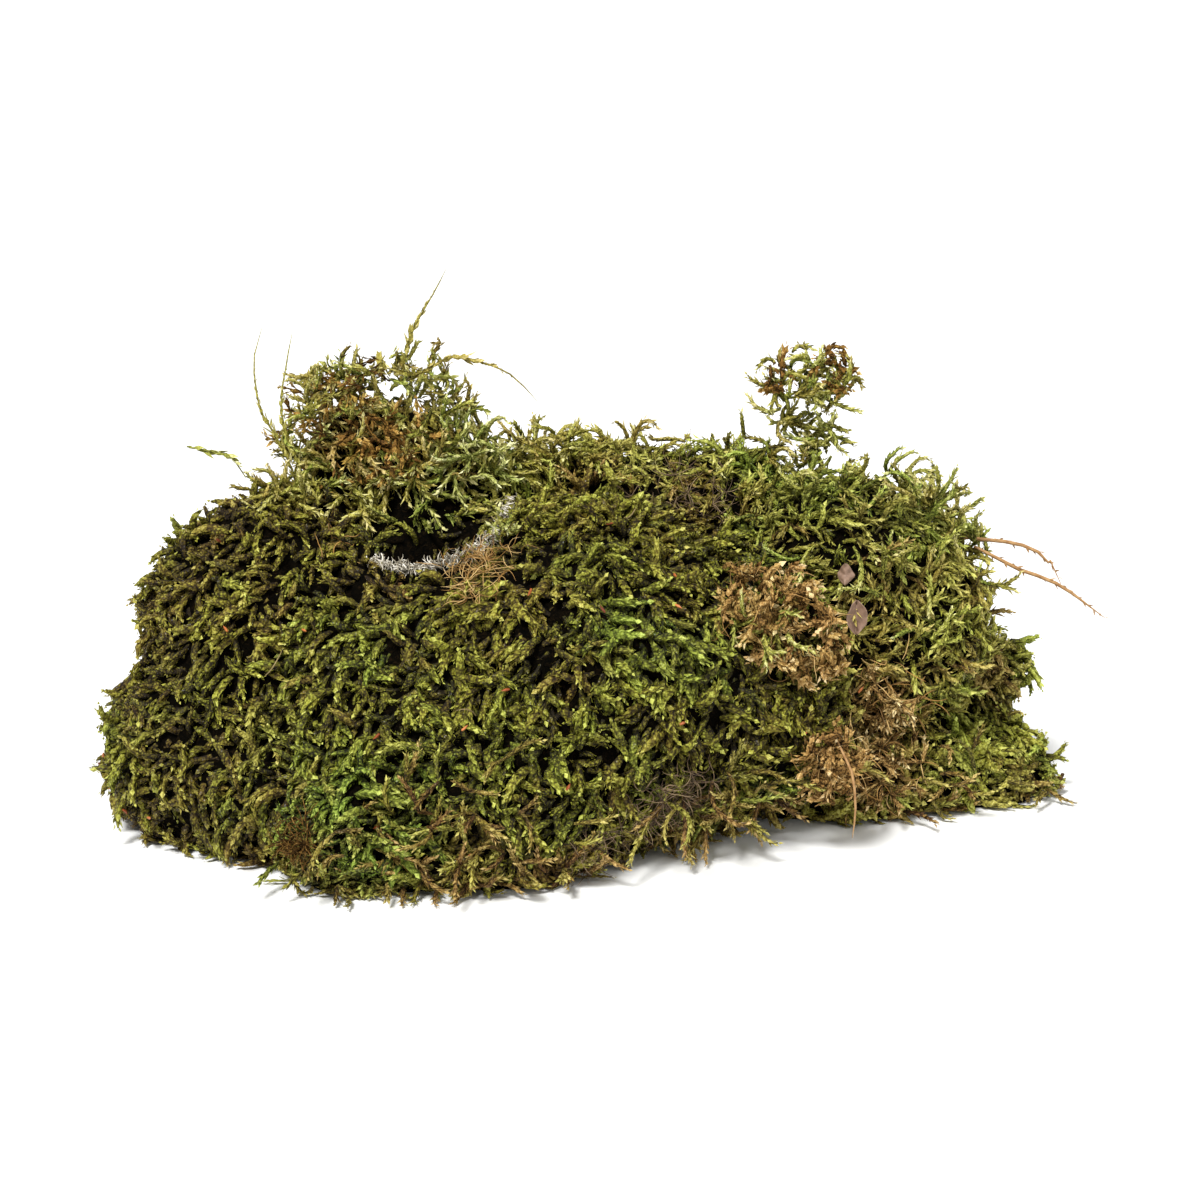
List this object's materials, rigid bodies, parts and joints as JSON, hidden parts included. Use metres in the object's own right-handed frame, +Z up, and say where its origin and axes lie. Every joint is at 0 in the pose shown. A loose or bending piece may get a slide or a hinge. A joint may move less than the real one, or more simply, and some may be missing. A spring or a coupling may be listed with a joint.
{
  "type": "moss clump",
  "caption": "Hummock of dried feather moss with a small hollow in the top, loose runners and tufts of dead brown moss. Lies on its flat underside.",
  "frame": {"origin": "on the flat underside of the front mat, on the surface that the clump rests on, under the middle of the clump", "axes": "+X to the clump's right end along its length, +Y to its back, +Z up"},
  "size_m": [0.227, 0.12, 0.1218],
  "materials": {
    "green_moss": "glossy overlapping moss leaves, yellow-green to olive, dark between the shoots",
    "olive_moss": "drier moss shoots, olive to straw",
    "bright_moss": "fresher and finer moss shoots, bright green",
    "dead_moss": "dead curled moss, reddish brown",
    "pale_fibre": "felted grey-white fibres",
    "runner": "thin leafy runners",
    "brown_stem": "bare dry stems and rootlets",
    "dry_leaf": "dry pinkish-brown leaf flakes"
  },
  "bodies": {
    "root": {"front_mat": "green_moss", "left_mat": "olive_moss", "front_cushion": "bright_moss", "right_mat": "bright_moss", "crest_mat": "green_moss", "back_flap": "olive_moss", "base_mat": "olive_moss", "far_right_mat": "green_moss", "rear_mat": "green_moss", "crest_tangle": "olive_moss", "brown_tuft": "dead_moss", "lower_brown_tuft": "dead_moss", "hollow_rim": "pale_fibre", "tall_left_sprig": "runner", "short_left_sprig": "runner", "side_sprig": "runner", "peak_runner": "runner", "arching_runner": "runner", "right_twig": "brown_stem", "right_hair_runner": "brown_stem", "hanging_rootlet": "brown_stem", "large_leaf_flake": "dry_leaf", "small_leaf_flake": "dry_leaf"}
  },
  "joints": []
}
